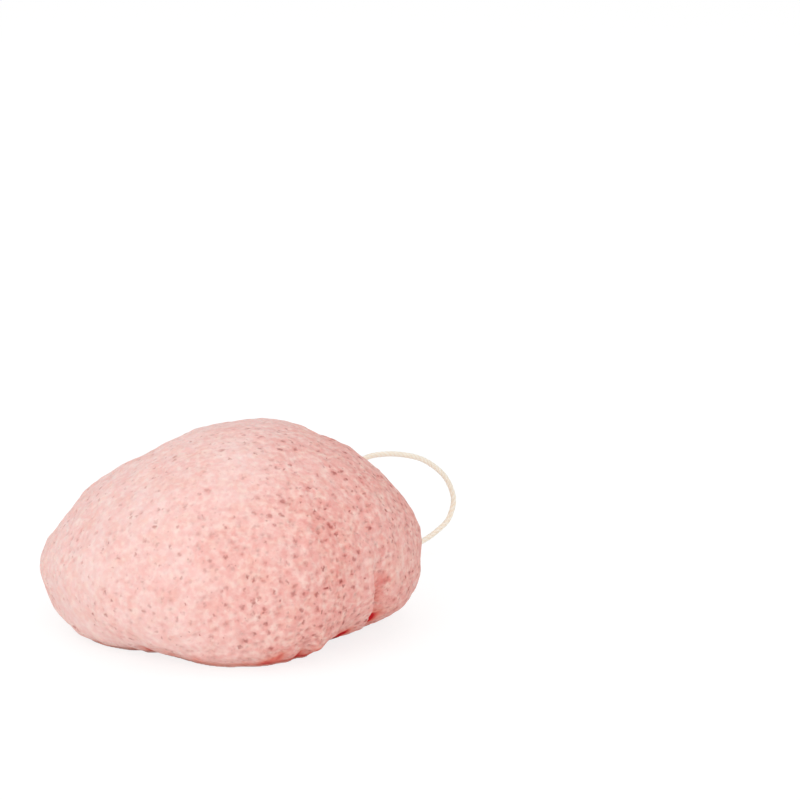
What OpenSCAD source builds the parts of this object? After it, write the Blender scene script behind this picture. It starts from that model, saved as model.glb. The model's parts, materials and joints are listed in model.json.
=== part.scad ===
// Half-ball konjac sponge on a doubled cotton cord.
// The foam is a lumpy dome on a flat face. The cord's two strands run through a needle hole from a
// knot in a hollow of the flat face to the rear right flank, where the cord stands out as a loop.
// The origin is on the flat face, in the middle of the foam, with X to the right and Y to the back.

/* [Sponge] */
// Width of the foam from left to right
sponge_w = 80; // [70:1:92]
// Depth of the foam from front to back
sponge_d = 72; // [64:1:84]
// Height of the crown above the flat face
sponge_h = 42; // [36:0.5:50]
// Height of the widest part above the flat face
belly_h = 12.5; // [10:0.5:15]
// How far the hem draws in from the widest part to the flat face
hem_inset = 8; // [6:0.5:10]
// How far the crown stands to the right of the middle
crown_offset = 4; // [0:0.5:6]

/* [Lumps] */
// Depth of a full hollow in the belly's plan, between its lobes
lobe_depth = 3.5; // [0:0.5:5]
// How much further the hem is tucked in under the front right corner
hem_tuck = 7; // [0:0.5:8]
// How far the belly is lifted at the front right corner
belly_lift = 2; // [0:0.25:3]
// Height of a full lump on the skin
lump_h = 1.2; // [0:0.1:2]
// Depth of the fold in the front right flank
fold_depth = 2; // [0:0.1:3]

/* [Needle hole] */
// Direction of the hole's mouth, turned from the right towards the back, in degrees
mouth_azimuth = 45; // [38:1:55]
// Height of the hole's mouth above the flat face
mouth_h = 22.5; // [20:0.5:24]
// Clearance between the strands and the foam
hole_clearance = 0.2; // [0.1:0.05:0.3]
// Width of the dimple that the cord pulls in the foam at the mouth
dimple_w = 6; // [5:0.5:8]
// Depth of the dimple
dimple_depth = 2; // [1:0.25:3]

/* [Cord] */
// Thickness of the cotton cord
cord_dia = 1.2; // [1:0.05:1.3]
// Gap between the two strands where they run side by side
strand_gap = 0.2; // [0.1:0.05:0.3]
// Gap between the loop's round ends and the ends of the strands
swing_gap = 0.1; // [0.05:0.05:0.2]

/* [Knot] */
// Distance of the knot from the middle of the flat face
knot_out = 6; // [3:0.5:9]
// Height of the middle of the knot above the flat face
knot_h = 4.2; // [4:0.1:5]
// Number of wraps that the knot shows
knot_wraps = 3; // [2:1:3]
// Length of the clipped ends beyond the knot
tail_len = 2; // [1:0.25:2.5]
// Clearance between the knot and the foam round it
knot_clearance = 0.4; // [0.3:0.05:0.6]

/* [Hidden] */
$fn = 48;

// Overrun of every cut past the surface that it opens
cut_over = 2;

// Lobes and hollows of the belly: azimuth, spread in degrees, share of lobe_depth
belly_lobe_shares = [
    [300, 14, 0.2], [352, 16, 0.3], [275, 30, 0.1], [210, 22, -0.4], [178, 20, -0.3],
    [35, 25, -0.15], [120, 25, -0.2]
];
// Where the belly is lifted: azimuth, spread in degrees, share of belly_lift
belly_lift_shares = [[334, 12, 1], [350, 16, 0.3], [240, 20, 0.3]];
// Where the hem is tucked in further: azimuth, spread in degrees, share of hem_tuck
hem_tuck_shares = [[330, 25, 1], [345, 12, 0.4], [240, 22, 1], [186, 14, 0.7], [100, 25, 0.3]];
// Where the dome's slope is straighter or fuller than an ellipse: azimuth, spread, share of its power
slope_power = 2;
slope_power_shares = [[180, 60, -0.2], [142, 24, -0.06], [0, 60, -0.04], [270, 50, 0.05]];
// Lumps and notches: azimuth, spread in degrees, height and its spread as shares of sponge_h, and
// share of lump_h
lump_shares = [
    [240, 6, 0.11, 0.1, -1], [301, 4, 0.1, 0.09, -0.8], [318, 4, 0.12, 0.11, -1],
    [320, 9, 0.04, 0.15, -2],
    [202, 6, 0.15, 0.12, -0.8], [170, 8, 0.1, 0.1, -0.7], [140, 6, 0.12, 0.11, -0.9],
    [100, 7, 0.1, 0.1, -0.8], [72, 6, 0.14, 0.12, -0.8], [22, 6, 0.12, 0.12, -0.8],
    [50, 24, 0.92, 0.06, 1], [145, 20, 0.84, 0.12, -1], [160, 12, 0.6, 0.08, 0.5],
    [290, 22, 0.55, 0.18, 0.5], [250, 18, 0.6, 0.15, -0.5], [340, 18, 0.6, 0.15, 0.3],
    [210, 20, 0.45, 0.15, 0.4], [120, 20, 0.5, 0.2, 0.6], [80, 18, 0.72, 0.14, -0.5],
    [4, 16, 0.48, 0.14, 0.7]
];
// The fold: azimuth, spread in degrees, and height and its spread as shares of sponge_h
fold_azimuth = 328;
fold_spread = 4;
fold_height_share = 0.24;
fold_reach_share = 0.18;
// How far the fold's foot turns to the right, in degrees, and the height at which it starts to turn
fold_sweep = 6;
fold_bend_share = 0.4;
// How steeply the crown's offset grows with height
lean_power = 1.3;

// Columns and rows of the foam's skin, and how far, in degrees, columns crowd towards the fold
foam_columns = 56;
hem_rows = 6;
dome_rows = 16;
column_crowding = 34;

// Sum of the bumps of one table at azimuth a
function turn(a, centre) = (a - centre + 900) % 360 - 180;
function bump(a, centre, spread) = exp(-pow(turn(a, centre) / spread, 2));
function bumps(a, rows) = [for (row = rows) row[2] * bump(a, row[0], row[1])] * [for (row = rows) 1];

// The foam's plan and the power of its slope at azimuth a
function plan_r(a) = 1 / norm([cos(a) * 2 / sponge_w, sin(a) * 2 / sponge_d]);
function belly_r(a) = plan_r(a) + lobe_depth * bumps(a, belly_lobe_shares);
function belly_z(a) = belly_h + belly_lift * bumps(a, belly_lift_shares);
function hem_in(a) = hem_inset + hem_tuck * bumps(a, hem_tuck_shares);
function slope(a) = 2 / (slope_power * (1 + bumps(a, slope_power_shares)));

// Lumps and the fold at azimuth a and height z
function band(z, share, spread_share) = exp(-pow((z / sponge_h - share) / spread_share, 2));
function lumps(a, z) = lump_h * [for (row = lump_shares) row[4] * bump(a, row[0], row[1])
    * band(z, row[2], row[3])] * [for (row = lump_shares) 1];
function fold_at(z) =
    fold_azimuth + fold_sweep * pow(max(0, 1 - z / (fold_bend_share * sponge_h)), 2);
function fold(a, z) = fold_depth * bump(a, fold_at(z), fold_spread)
    * band(z, fold_height_share, fold_reach_share);
function lean(z) = crown_offset * pow(max(0, (z - belly_h) / (sponge_h - belly_h)), lean_power);
function skin(a, r, z, ease) = let (far = r + ease * (lumps(a, z) - fold(a, z)))
    [far * cos(a) + lean(z), far * sin(a), z];

// A point of the hem, where u runs from 0 at the belly to 90 under the foam, and of the dome, where u
// runs from 0 at the belly to 90 at the crown
function hem_point(a, u) =
    skin(a, belly_r(a) - hem_in(a) * (1 - cos(u)), belly_z(a) * (1 - sin(u)), 1);
function dome_point(a, u) = skin(a, belly_r(a) * pow(cos(u), slope(a)),
    belly_z(a) + (sponge_h - belly_z(a)) * pow(sin(u), slope(a)), cos(u));
// The dome's point at azimuth a and height z
function flank(a, z) =
    dome_point(a, asin(pow((z - belly_z(a)) / (sponge_h - belly_z(a)), 1 / slope(a))));

function column_azimuth(k) = let (g = 360 * k / foam_columns)
    (g + fold_azimuth - column_crowding * sin(g) + 360) % 360;
azimuths = [for (k = [0:foam_columns - 1]) column_azimuth(k)];
foam_rows = concat(
    [for (i = [hem_rows:-1:1]) [for (a = azimuths) hem_point(a, 90 * i / hem_rows)]],
    [for (i = [0:dome_rows - 1]) [for (a = azimuths) dome_point(a, 90 * i / dome_rows)]]);
crown = [crown_offset, 0, sponge_h];

// The middle of the foam's own width and depth, which is moved onto the origin
xs = [for (row = foam_rows) for (p = row) p.x];
ys = [for (row = foam_rows) for (p = row) p.y];
middle = [max(xs) + min(xs), max(ys) + min(ys), 0] / 2;

// The needle hole, from the knot to the mouth
mouth = flank(mouth_azimuth, mouth_h) - middle;
aside = [mouth.x, mouth.y, 0] / norm([mouth.x, mouth.y]);
knot_place = knot_out * aside + [0, 0, knot_h];
hole_line = mouth - knot_place;
hole_len = norm(hole_line);
hole_dir = hole_line / hole_len;
hole_turn = atan2(aside.y, aside.x);
hole_rise = asin(hole_dir.z);

// The two strands side by side, one above the other in the hole's upright plane
cord_r = cord_dia / 2;
strand_offset = (cord_dia + strand_gap) / 2;
strands_r = strand_offset + cord_r;
hole_r = strands_r + hole_clearance;
// The loop's ends stand on one upright line through the mouth: how far each is up that line, and
// how far that carries it along the hole
end_up = strand_offset / cos(hole_rise);
end_along = strand_offset * tan(hole_rise);

// The knot's wraps round the two strands, and the hollow that it is drawn into
wrap_r = strands_r + cord_r;
knot_r = wrap_r + cord_r;
knot_len = knot_wraps * cord_dia;
// The strands and the ends are sunk into the knot by this much
knot_bite = cord_r;
hollow_r = knot_r + knot_clearance;
hollow_deep = (knot_h + hollow_r) / sin(hole_rise) + cut_over;

// The loop's route: how far out from the mouth, how far to the back and how high above the table
loop_route = [
    [1.5, 0, 24.5], [3.5, 0, 26], [6.5, 0, 26.5], [10, 0, 26], [13, 0, 25.5], [16.5, 0, 24.5],
    [19.5, 0, 23.5], [23, 0, 22], [26, 0, 20], [28.5, 0, 18], [30.5, 0, 16], [32, 0, 13.5],
    [33, 0, 11], [33, 0, 9], [32, 0, 7], [31, 0, 5.5], [28.5, 0, 4.5], [26, 0, 3.5],
    [23.5, 0, 3], [20.5, 0, 2.5], [18, -0.5, 2], [15.5, -1, 1], [13, -1, 0.6], [10.5, -1, 1.5],
    [8.5, -1, 3.5], [7, -0.5, 6], [6.5, 0, 9], [6, 0, 12], [6, 0, 15], [6, 0, 18],
    [5.5, 0, 20.5], [4, 0, 22.5], [1.5, 0, 22.5]
];
// Sides of the loop's tube, and the steps of its round ends in degrees
loop_sides = 8;
end_steps = [30, 60];

backward = [-aside.y, aside.x, 0];
loop_line = concat(
    [mouth + [0, 0, end_up]],
    [for (p = loop_route) [mouth.x, mouth.y, 0] + p[0] * aside + p[1] * backward + [0, 0, p[2]]],
    [mouth - [0, 0, end_up]]);
loop_last = len(loop_line) - 1;
function unit(v) = v / norm(v);
function loop_heading(i) = i == 0 ? hole_dir : i == loop_last ? -hole_dir
    : unit(loop_line[i + 1] - loop_line[i - 1]);
// Each ring of the tube: its middle, its heading and its radius
loop_rings = concat(
    [for (k = [len(end_steps) - 1:-1:0])
        [loop_line[0] - hole_dir * cord_r * sin(end_steps[k]), hole_dir, cord_r * cos(end_steps[k])]],
    [for (i = [0:loop_last]) [loop_line[i], loop_heading(i), cord_r]],
    [for (step = end_steps)
        [loop_line[loop_last] - hole_dir * cord_r * sin(step), -hole_dir, cord_r * cos(step)]]);
function ring_points(ring) = let (
    across = unit(backward - (backward * ring[1]) * ring[1]),
    over = cross(ring[1], across))
    [for (k = [0:loop_sides - 1]) let (g = 360 * (k + 0.5) / loop_sides)
        ring[0] + ring[2] * (cos(g) * across + sin(g) * over)];

// A closed skin over rings of points, from one pole to the other
module skinned(rings, first_pole, last_pole) {
    n = len(rings[0]);
    body = [for (ring = rings) for (p = ring) p];
    first = len(body);
    last = first + 1;
    top = (len(rings) - 1) * n;
    sides = [for (i = [0:len(rings) - 2]) for (k = [0:n - 1]) let (j = (k + 1) % n)
        each [[i * n + k, (i + 1) * n + j, i * n + j], [i * n + k, (i + 1) * n + k, (i + 1) * n + j]]];
    caps = [for (k = [0:n - 1]) let (j = (k + 1) % n)
        each [[first, k, j], [last, top + j, top + k]]];
    polyhedron(points = concat(body, [first_pole, last_pole]), faces = concat(sides, caps));
}

// Stands its children on the knot, with Z along the hole towards the mouth
module along_hole() {
    translate(knot_place) rotate([0, 90 - hole_rise, hole_turn]) children();
}

module sponge_body() {
    color("#f6c3bd") difference() {
        translate(-middle) skinned(foam_rows, [0, 0, 0], crown);
        along_hole() {
            cylinder(h = hole_len + cut_over, r = hole_r);
            translate([0, 0, -hollow_deep])
                cylinder(h = hollow_deep + knot_len / 2 + knot_clearance, r = hollow_r);
            translate([0, 0, hole_len - dimple_depth]) cylinder(h = dimple_depth + cut_over, r1 = hole_r,
                r2 = hole_r + (dimple_w / 2 - hole_r) * (dimple_depth + cut_over) / dimple_depth);
        }
    }
}

module string_run() {
    start = knot_len / 2 - knot_bite;
    color("#efe6d6") along_hole() for (side = [-1, 1])
        translate([side * strand_offset, 0, start])
            cylinder(h = hole_len - side * end_along - cord_r - swing_gap - start, r = cord_r);
}

module string_knot() {
    color("#e9dfcd") along_hole() {
        rotate_extrude() for (i = [0:knot_wraps - 1])
            translate([0, (i + 0.5) * cord_dia - knot_len / 2]) union() {
                translate([wrap_r, 0]) circle(r = cord_r);
                translate([0, -cord_r]) square([wrap_r, cord_dia]);
            }
        for (side = [-1, 1]) translate([side * strand_offset, 0, -knot_len / 2 - tail_len])
            cylinder(h = tail_len + knot_bite, r = cord_r);
    }
}

module hang_loop() {
    color("#f4ecdf") skinned([for (ring = loop_rings) ring_points(ring)],
        loop_line[0] - hole_dir * cord_r, loop_line[loop_last] - hole_dir * cord_r);
}

sponge_body();
string_run();
string_knot();
hang_loop();
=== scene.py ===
"""Looks of a half-ball konjac sponge on a doubled cotton cord, built round its packed construction.

The cord's route and the foam's formula repeat those of the construction source. Sizes are in
millimetres unless a name ends in _m, and meshes are in metres in the row frame: X to the right, Y to
the back, Z up from the flat face that the sponge rests on.
"""

from __future__ import annotations

import json
import logging
import math
from dataclasses import dataclass, field
from enum import Enum

import bpy
import numpy as np
from bpy.types import Material, NodeSocket, NodeTree, Object, ShaderNode
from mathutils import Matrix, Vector, kdtree, noise

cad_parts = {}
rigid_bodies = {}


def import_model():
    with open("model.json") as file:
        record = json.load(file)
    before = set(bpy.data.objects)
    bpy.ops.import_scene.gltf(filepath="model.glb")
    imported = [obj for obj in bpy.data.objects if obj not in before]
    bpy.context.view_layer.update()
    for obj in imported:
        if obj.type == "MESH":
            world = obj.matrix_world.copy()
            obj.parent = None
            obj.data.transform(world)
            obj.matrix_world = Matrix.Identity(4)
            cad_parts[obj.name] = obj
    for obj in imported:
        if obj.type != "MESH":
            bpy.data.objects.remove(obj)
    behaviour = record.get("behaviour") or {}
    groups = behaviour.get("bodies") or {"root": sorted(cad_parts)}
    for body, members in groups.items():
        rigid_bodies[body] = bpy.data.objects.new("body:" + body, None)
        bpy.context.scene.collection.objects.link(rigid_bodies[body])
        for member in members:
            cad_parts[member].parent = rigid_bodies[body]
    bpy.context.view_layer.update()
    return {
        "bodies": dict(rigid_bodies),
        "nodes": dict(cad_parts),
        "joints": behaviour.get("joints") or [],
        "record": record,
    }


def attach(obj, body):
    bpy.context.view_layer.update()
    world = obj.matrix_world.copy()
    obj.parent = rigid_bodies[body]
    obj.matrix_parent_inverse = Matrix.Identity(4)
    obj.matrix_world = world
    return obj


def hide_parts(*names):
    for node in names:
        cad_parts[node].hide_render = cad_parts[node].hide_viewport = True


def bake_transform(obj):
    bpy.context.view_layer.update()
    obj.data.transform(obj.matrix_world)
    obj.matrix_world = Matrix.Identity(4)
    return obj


LOG = logging.getLogger("konjac_sponge")
MM = 0.001
UP = np.array([0.0, 0.0, 1.0])
LEVEL = np.array([1, 1, 0])
WHITE = "#ffffff"
SEED = 11

Pair = tuple[float, float]
Triple = tuple[float, float, float]
Faces = list[tuple[int, ...]]
Source = ShaderNode | NodeSocket
# Points, faces, how deep in a groove each point is, and each point's place on the cord laid straight
CordPart = tuple[np.ndarray, Faces, np.ndarray, np.ndarray]


class Body(Enum):
    """The bodies of the construction that pieces ride on."""

    SPONGE = "sponge"
    STRING = "string"
    LOOP = "loop"


class Node(Enum):
    """The construction's nodes that pieces stand for."""

    FOAM = "sponge_body"
    STRANDS = "string_run"
    KNOT = "string_knot"
    LOOP = "hang_loop"


class Slot(Enum):
    """The record's material slots."""

    FOAM = "konjac_foam"
    CORD = "cotton_cord"


class Mark(Enum):
    """Named values that a mesh carries from point to point for its material."""

    # How deep in a pore or a groove a point is, where shade is painted
    PIT = "pit"
    # How pink the foam is, and above 1 the painted shade in its fold
    FLUSH = "flush"
    # Where painted shade and painted glow turn the underside and the notches red
    UNDERSIDE = "underside"
    STRAIGHT = "straight"


def linear(code: str) -> tuple[float, float, float, float]:
    """Turns an sRGB colour into the linear one that shaders take.

    Args:
        code: The colour as "#rrggbb".

    Returns:
        Linear red, green and blue, and an alpha of 1.
    """
    shares = [int(code[i : i + 2], 16) / 255 for i in (1, 3, 5)]
    red, green, blue = [s / 12.92 if s <= 0.04045 else ((s + 0.055) / 1.055) ** 2.4 for s in shares]
    return red, green, blue, 1.0


def per_metre(size: float) -> float:
    """Gives the texture scale at which one cell of a pattern is size millimetres wide."""
    return 1 / (size * MM)


def unit(vectors: np.ndarray) -> np.ndarray:
    """Gives vectors, or one vector, at a length of 1."""
    return vectors / np.linalg.norm(vectors, axis=-1, keepdims=True)


def ease(values: np.ndarray, low: float, high: float) -> np.ndarray:
    """Rises smoothly from 0 where values are at low to 1 where they are at high."""
    share = np.clip((values - low) / (high - low), 0, 1)
    return share * share * (3 - 2 * share)


def random_lumps(points: np.ndarray, size: float, start: float = 0.0) -> np.ndarray:
    """Gives a smooth random value from -1 to 1 at each point, in lumps of one size."""
    return np.array([noise.noise(Vector(p)) for p in points / size + start])


def add_node(tree: NodeTree, kind: str, inputs: dict | tuple = (), **settings: object) -> ShaderNode:
    """Adds one node with its settings, values and links.

    Args:
        tree: The tree that it joins.
        kind: The node's type, without the ShaderNode that all start with.
        inputs: What its input sockets take, in their order, or by their names or places: a value,
            an output socket to link, or a node, whose first output in use is linked.
        settings: The node's own settings by name.

    Returns:
        The new node.
    """
    node = tree.nodes.new("ShaderNode" + kind)
    for name, value in settings.items():
        setattr(node, name, value)
    for key, value in inputs.items() if isinstance(inputs, dict) else enumerate(inputs):
        if isinstance(value, ShaderNode):
            value = next(output for output in value.outputs if output.enabled)
        if isinstance(value, NodeSocket):
            tree.links.new(value, node.inputs[key])
        else:
            node.inputs[key].default_value = value
    return node


def layered(tree: NodeTree, ground: str, layers: list[tuple]) -> ShaderNode:
    """Lays colours over one another.

    Args:
        tree: The material's tree.
        ground: The colour that they lie on.
        layers: For each its colour or a node that gives one, what it follows, the value of that
            at which the layer starts and at which it is full, and how much it then covers.

    Returns:
        The node that gives the colour.
    """
    mixed = linear(ground)
    for colour, driver, low, high, most in layers:
        amount = add_node(tree, "MapRange", (driver, low, high, 0.0, most))
        top = linear(colour) if isinstance(colour, str) else colour
        mixed = add_node(tree, "Mix", {0: amount, 6: mixed, 7: top}, data_type="RGBA")
    return mixed


def new_material(name: str) -> tuple[Material, NodeTree]:
    """Makes an empty node material.

    Args:
        name: The material's name.

    Returns:
        The material and its tree, which holds no nodes yet.
    """
    material = bpy.data.materials.new(name)
    material.use_nodes = True
    material.node_tree.nodes.clear()
    return material, material.node_tree


def mesh_object(name: str, points: np.ndarray, faces: Faces) -> Object:
    """Makes a smooth-shaded mesh object in the scene.

    Args:
        name: The object's name.
        points: Its points in metres, in the row frame.
        faces: Its faces, as indices of points.

    Returns:
        The new object.
    """
    mesh = bpy.data.meshes.new(name)
    mesh.from_pydata(points.tolist(), [], faces)
    mesh.validate()
    mesh.shade_smooth()
    made = bpy.data.objects.new(name, mesh)
    bpy.context.scene.collection.objects.link(made)
    return made


def set_mark(piece: Object, mark: Mark, values: np.ndarray) -> None:
    """Stores one number, or one vector, at each point of a mesh.

    Args:
        piece: The mesh object.
        mark: What the values are for.
        values: One value or one row of three per point.
    """
    kind, field_name = ("FLOAT", "value") if values.ndim == 1 else ("FLOAT_VECTOR", "vector")
    attribute = piece.data.attributes.new(mark.value, kind, "POINT")
    attribute.data.foreach_set(field_name, values.astype(np.float32).ravel())


def capped_rings(rings: int, sides: int) -> Faces:
    """Joins rings of points, stored one after another, by quads, and closes both ends.

    Args:
        rings: How many rings there are.
        sides: How many points each ring has.

    Returns:
        The faces, which look outward where rings run along a line and turn anticlockwise round it.
        The middles of the first and the last end are the two points after the rings.
    """
    first, last, top = rings * sides, rings * sides + 1, (rings - 1) * sides
    turns = [(k, (k + 1) % sides) for k in range(sides)]
    faces = [
        (low + k, low + after, low + sides + after, low + sides + k)
        for low in range(0, top, sides)
        for k, after in turns
    ]
    for k, after in turns:
        faces += [(first, after, k), (last, top + k, top + after)]
    return faces


@dataclass(frozen=True)
class PoreSize:
    """One size of open pore: the distance between such pores, their largest radius, how plainly they
    show, and how much denser they lie along X, Y and Z."""

    spacing: float
    reach: float
    strength: float
    squeeze: Triple


@dataclass(frozen=True)
class MoistKonjacFoam:
    """Konjac foam: plant-fibre gel, whipped, cast in a half-ball mould, frozen and thawed, kept moist.

    To the eye it is matt and slightly see-through: soft pink curds with fine open pores. The pores' depths
    and the undersides are painted a deeper red: painted shade where shade falls there, and the painted glow
    of light that reaches them through the gel.
    """

    pale: str = "#f7d2cd"
    flushed: str = "#f0aea2"
    patch: str = "#f0b3ab"
    curd: str = "#efb8a0"
    light_skin: str = "#ffe9de"
    haze: str = "#de7c76"
    # The pores' colours are painted shade in their hollows, with the painted red of light through the gel
    pore: str = "#cf9890"
    pore_flushed: str = "#9c302b"
    # Painted glow of light through the gel along the lowest edge, and painted shade in red on the underside
    # and in the notches
    rim_glow: str = "#f5957f"
    glow: str = "#d01c26"
    patch_size: float = 5.0
    curd_size: float = 2.0
    mottle_size: float = 1.3
    grain_size: float = 0.9
    # How far the pores' outlines wander along X, Y and Z
    wander: Triple = (1.5, 1.1, 1.1)
    pore_sizes: tuple[PoreSize, ...] = (
        PoreSize(2.3, 0.62, 1.0, (0.9, 1.0, 1.1)),
        PoreSize(1.7, 0.52, 0.9, (1.2, 1.0, 0.8)),
        PoreSize(1.1, 0.32, 0.25, (0.8, 1.0, 1.2)),
    )
    # How much a flush opens the pores, and how open the smallest and the largest of them are
    flush_opens: float = 0.4
    openness: Pair = (0.2, 0.95)
    # The smallest pore's radius as a share of the spacing, and the faintest pore's strength as a share
    smallest: float = 0.02
    faintest: float = 0.25
    # Where a pore and the haze round it start and where they are full, as shares of its radius
    pore_edge: Pair = (1.3, 0.2)
    haze_edge: Pair = (3.0, 0.8)
    # The mottle's values where red blotches start and are full, how softly curds run into one another,
    # and how much of a pore's colour, its painted shade and painted red, the mesh's own pores get
    blotch_edge: Pair = (0.52, 0.28)
    curd_blend: float = 0.8
    pit_shade_tint: float = 0.5
    # How strongly and how deep the curds, their grain and the pores are embossed
    curd_relief: Pair = (0.7, 0.6)
    grain_relief: Pair = (0.6, 0.22)
    pore_relief: Pair = (0.6, 0.12)
    roughness: float = 0.78
    ior: float = 1.36
    gloss: float = 0.3
    scatter_weight: float = 0.2
    scatter_length_m: float = 0.0012
    # Red light travels furthest in the gel
    scatter_shares: Triple = (1.0, 0.42, 0.34)

    def build(self) -> Material:
        """Makes the foam's material.

        Returns:
            The material.
        """
        material, tree = new_material("moist_konjac_foam")
        place = add_node(tree, "TexCoord").outputs["Object"]
        marks = {
            mark: add_node(tree, "Attribute", attribute_name=mark.value).outputs["Fac"]
            for mark in (Mark.PIT, Mark.FLUSH, Mark.UNDERSIDE)
        }
        cloud = {"Vector": place, "Scale": per_metre(self.grain_size), "Detail": 1.0}
        drift = add_node(tree, "TexNoise", cloud).outputs["Color"]
        way = tuple(MM * length for length in self.wander)
        shifted = add_node(tree, "VectorMath", (drift, way, place), operation="MULTIPLY_ADD")
        drawn = [self.pores(tree, shifted, size, marks[Mark.FLUSH]) for size in self.pore_sizes]
        specks, haze = drawn[0]
        for finer, _ in drawn[1:]:
            specks = add_node(tree, "Math", (specks, finer), operation="MAXIMUM")
        looks = {
            "Base Color": self.colour(tree, place, marks, specks, haze),
            "Roughness": self.roughness,
            "IOR": self.ior,
            "Subsurface Weight": self.scatter_weight,
            "Subsurface Radius": self.scatter_shares,
            "Subsurface Scale": self.scatter_length_m,
            "Specular IOR Level": self.gloss,
            "Normal": self.relief(tree, place, specks),
        }
        add_node(tree, "OutputMaterial", (add_node(tree, "BsdfPrincipled", looks),))
        return material

    def pores(self, tree: NodeTree, place: Source, size: PoreSize, flush: Source) -> list[ShaderNode]:
        """Draws one size of pore that the surface cuts through, which the colour darkens with painted
        shade.

        Args:
            tree: The material's tree.
            place: The point to shade.
            size: The pores' size.
            flush: How flushed the foam is there, above 1 with the fold's painted shade, which opens the
                pores.

        Returns:
            How far inside a pore a point is, and how near one, both from 0 to 1.
        """
        squeezed = add_node(tree, "VectorMath", (place, size.squeeze), operation="MULTIPLY")
        cells = add_node(tree, "TexVoronoi", {"Vector": squeezed, "Scale": per_metre(size.spacing)})
        chance = add_node(tree, "SeparateColor", (cells.outputs["Color"],)).outputs
        opened = add_node(tree, "Math", (flush, self.flush_opens, chance[0]), operation="MULTIPLY_ADD")
        widest = size.reach / size.spacing
        radius = add_node(tree, "MapRange", (opened, *self.openness, self.smallest, widest))
        share = add_node(tree, "Math", (cells, radius), operation="DIVIDE")
        least = self.faintest * size.strength
        most = add_node(tree, "MapRange", (chance[1], 0.0, 1.0, least, size.strength))
        return [
            add_node(tree, "MapRange", (share, outer, inner, 0.0, most), interpolation_type="SMOOTHSTEP")
            for outer, inner in (self.pore_edge, self.haze_edge)
        ]

    def colour(
        self, tree: NodeTree, place: Source, marks: dict[Mark, Source], specks: Source, haze: Source
    ) -> ShaderNode:
        """Mixes the foam's colour, from its ground up to the pores in it.

        Args:
            tree: The material's tree.
            place: The point to shade.
            marks: The mesh's own values there.
            specks: How far inside a pore the point is, where painted shade darkens it.
            haze: How near a large pore the point is.

        Returns:
            The node that gives the colour.
        """
        flush, under = marks[Mark.FLUSH], marks[Mark.UNDERSIDE]
        patches, mottle = (
            add_node(tree, "TexNoise", {"Vector": place, "Scale": per_metre(size), "Detail": detail})
            for size, detail in ((self.patch_size, 2.0), (self.mottle_size, 3.0))
        )
        cells = {"Vector": place, "Scale": per_metre(self.curd_size), "Smoothness": self.curd_blend}
        curds = add_node(tree, "TexVoronoi", cells, feature="SMOOTH_F1").outputs["Color"]
        tone = add_node(tree, "SeparateColor", (curds,)).outputs
        blotches = add_node(tree, "MapRange", (mottle, *self.blotch_edge, 0.0, 1.0))
        redder = add_node(tree, "Math", (haze, blotches), operation="MAXIMUM")
        near_flush = add_node(tree, "Math", (redder, flush), operation="MULTIPLY")
        # The drawn pores and the mesh's own pores get painted shade with the painted red of light through
        # the gel
        depth = layered(tree, self.pore, [(self.pore_flushed, flush, 0.0, 1.0, 1.0)])
        pits = add_node(tree, "Math", (marks[Mark.PIT], self.pit_shade_tint), operation="MULTIPLY")
        hollow = add_node(tree, "Math", (specks, pits), operation="MAXIMUM")
        layers = [
            (self.flushed, flush, 0.0, 1.0, 1.0),
            (self.patch, patches, 0.46, 0.66, 0.35),
            (self.curd, tone[0], 0.4, 0.9, 0.2),
            (self.light_skin, tone[1], 0.6, 1.0, 0.25),
            (self.light_skin, mottle, 0.5, 0.7, 0.38),
            (self.patch, blotches, 0.0, 1.0, 0.3),
            (self.haze, near_flush, 0.0, 1.0, 0.65),
            # Painted shade in the fold: where the flush passes 1, in the fold and at its spot, it turns to
            # the haze colour
            (self.haze, flush, 1.0, 1.7, 0.85),
            (depth, hollow, 0.0, 1.0, 1.0),
            # Painted shade and the painted glow of light through the gel, on the underside and in the
            # notches
            (self.rim_glow, under, 0.0, 0.4, 0.7),
            (self.glow, under, 0.3, 0.7, 1.0),
        ]
        return layered(tree, self.pale, layers)

    def relief(self, tree: NodeTree, place: Source, specks: Source) -> ShaderNode:
        """Raises the curds and their fine grain, and sinks the pores.

        Args:
            tree: The material's tree.
            place: The point to shade.
            specks: How far inside a pore the point is.

        Returns:
            The node that gives the shading normal.
        """
        curds, grain = (
            add_node(tree, "TexNoise", {"Vector": place, "Scale": per_metre(size), "Detail": detail})
            for size, detail in ((self.curd_size, 1.0), (self.grain_size, 3.0))
        )
        normal = {}
        for height, (strength, depth) in zip(
            (curds, grain, specks), (self.curd_relief, self.grain_relief, self.pore_relief)
        ):
            inputs = {"Strength": strength, "Distance": depth * MM, "Height": height, **normal}
            normal = {"Normal": add_node(tree, "Bump", inputs, invert=height is specks)}
        return normal["Normal"]


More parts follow.
